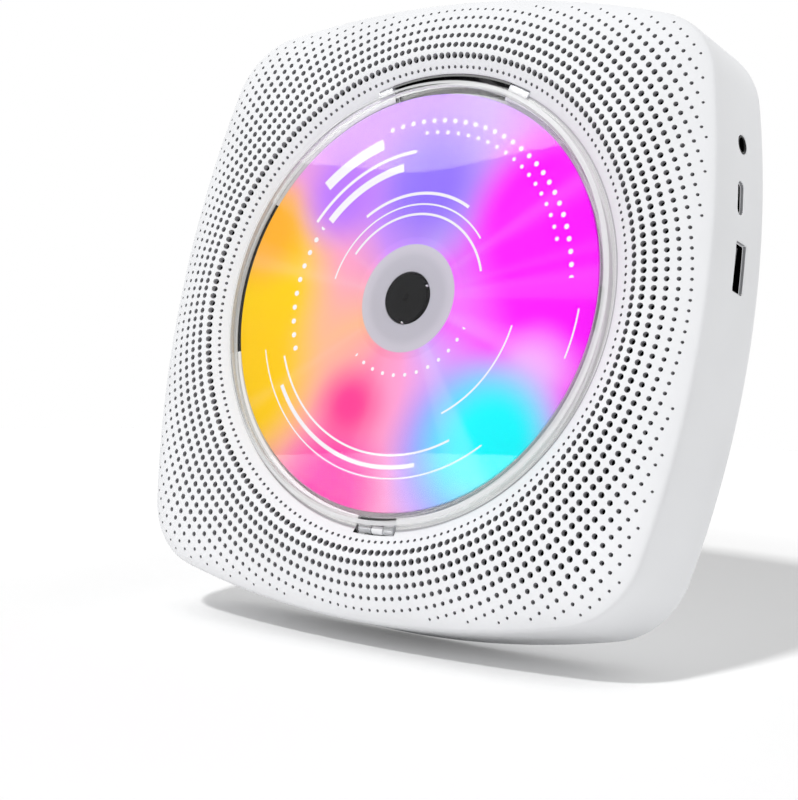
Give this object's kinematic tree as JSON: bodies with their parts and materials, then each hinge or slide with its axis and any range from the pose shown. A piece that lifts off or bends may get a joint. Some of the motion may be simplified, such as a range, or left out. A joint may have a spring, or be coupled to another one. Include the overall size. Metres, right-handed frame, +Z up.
{
  "type": "wall mounted disc player",
  "caption": "Pillow-shaped square wall player with a perforated crowned face, round disc well under a clear hinged cover, printed disc on a spindle, side sockets and top buttons.",
  "frame": {"origin": "centre of the flat back that meets the wall, on the disc's axis", "axes": "+X to the right seen from the front, +Y into the wall, +Z up; the front faces -Y"},
  "size_m": [0.1804, 0.0357, 0.1809],
  "materials": {
    "white_housing": "satin white",
    "black_gloss": "gloss black",
    "black_cloth": "fine woven black",
    "sheet_steel": "plated steel",
    "steel": "bright plated",
    "bronze": "sintered bronze",
    "black_rubber": "matt black",
    "board_green": "green circuit board",
    "black_plastic": "satin black",
    "foam": "black foam",
    "clear_window": "clear polished plastic",
    "clear_rim": "clear polished plastic",
    "disc_print": "printed many-coloured disc",
    "lens_glass": "coated lens"
  },
  "bodies": {
    "housing": {"front_shell": "white_housing", "front_grille": "white_housing", "disc_well": "white_housing", "recess_liners": "black_gloss", "grille_cloth": "black_cloth", "rear_cover": "white_housing", "rear_screws": "steel", "disc_tray": "white_housing", "mech_chassis": "sheet_steel", "dampers": "black_rubber", "damper_screws": "steel", "spindle_motor": "sheet_steel", "spindle_bush": "bronze", "guide_rods": "steel", "sled_motor": "sheet_steel", "main_board": "board_green", "board_screws": "steel", "main_chip": "black_plastic", "capacitors": "black_plastic", "port_board": "board_green", "aux_jack": "black_plastic", "usb_c_port": "steel", "usb_c_tongue": "black_plastic", "usb_a_port": "steel", "usb_a_tongue": "black_plastic", "ir_receiver": "black_plastic", "speaker_frame_left": "black_plastic", "speaker_frame_right": "black_plastic", "speaker_cone_left": "black_cloth", "speaker_cone_right": "black_cloth", "speaker_magnet_left": "sheet_steel", "speaker_magnet_right": "sheet_steel", "speaker_gasket_left": "foam", "speaker_gasket_right": "foam", "speaker_screws": "steel", "button_board": "board_green", "button_switches": "black_plastic", "hinge_pin": "steel"},
    "cover": {"cover_window": "clear_window", "cover_rim": "clear_rim"},
    "disc_spindle": {"disc": "disc_print", "turntable": "black_plastic", "hub_cap": "black_plastic", "retaining_balls": "steel", "spindle_shaft": "steel"},
    "sled": {"pickup_sled": "black_plastic", "lens_holder": "black_plastic", "pickup_lens": "lens_glass"},
    "feed_screw": {"lead_screw": "steel"},
    "button_power_key": {"button_power": "white_housing"},
    "button_previous_key": {"button_previous": "white_housing"},
    "button_play_key": {"button_play": "white_housing"},
    "button_next_key": {"button_next": "white_housing"},
    "button_mode_key": {"button_mode": "white_housing"}
  },
  "joints": [
    {"name": "cover_hinge", "type": "hinge", "parent": "housing", "child": "cover", "pos_m": [0.0038, -0.0315, -0.0646], "axis": [1, 0, 0], "range_deg": [0, 85]},
    {"name": "disc_spin", "type": "hinge", "parent": "housing", "child": "disc_spindle", "pos_m": [0, -0.0314, 0], "axis": [0, -1, 0], "continuous": true},
    {"name": "sled_slide", "type": "slide", "parent": "housing", "child": "sled", "axis": [1, 0, 0], "range_m": [0, 0.032]},
    {"name": "screw_turn", "type": "hinge", "parent": "housing", "child": "feed_screw", "pos_m": [0.03, -0.017, 0.025], "axis": [1, 0, 0], "range_deg": [-1, 3845]},
    {"name": "power_press", "type": "slide", "parent": "housing", "child": "button_power_key", "axis": [0, 0, -1], "range_m": [0, 0.0006], "stiffness_N_per_m": 1500, "springref_m": -0.0004},
    {"name": "previous_press", "type": "slide", "parent": "housing", "child": "button_previous_key", "axis": [0, 0, -1], "range_m": [0, 0.0006], "stiffness_N_per_m": 1500, "springref_m": -0.0004},
    {"name": "play_press", "type": "slide", "parent": "housing", "child": "button_play_key", "axis": [0, 0, -1], "range_m": [0, 0.0006], "stiffness_N_per_m": 1500, "springref_m": -0.0004},
    {"name": "next_press", "type": "slide", "parent": "housing", "child": "button_next_key", "axis": [0, 0, -1], "range_m": [0, 0.0006], "stiffness_N_per_m": 1500, "springref_m": -0.0004},
    {"name": "mode_press", "type": "slide", "parent": "housing", "child": "button_mode_key", "axis": [0, 0, -1], "range_m": [0, 0.0006], "stiffness_N_per_m": 1500, "springref_m": -0.0004}
  ],
  "couplings": [
    {"joint": "screw_turn", "follows": "sled_slide", "rad_per_m": 2094.4}
  ]
}
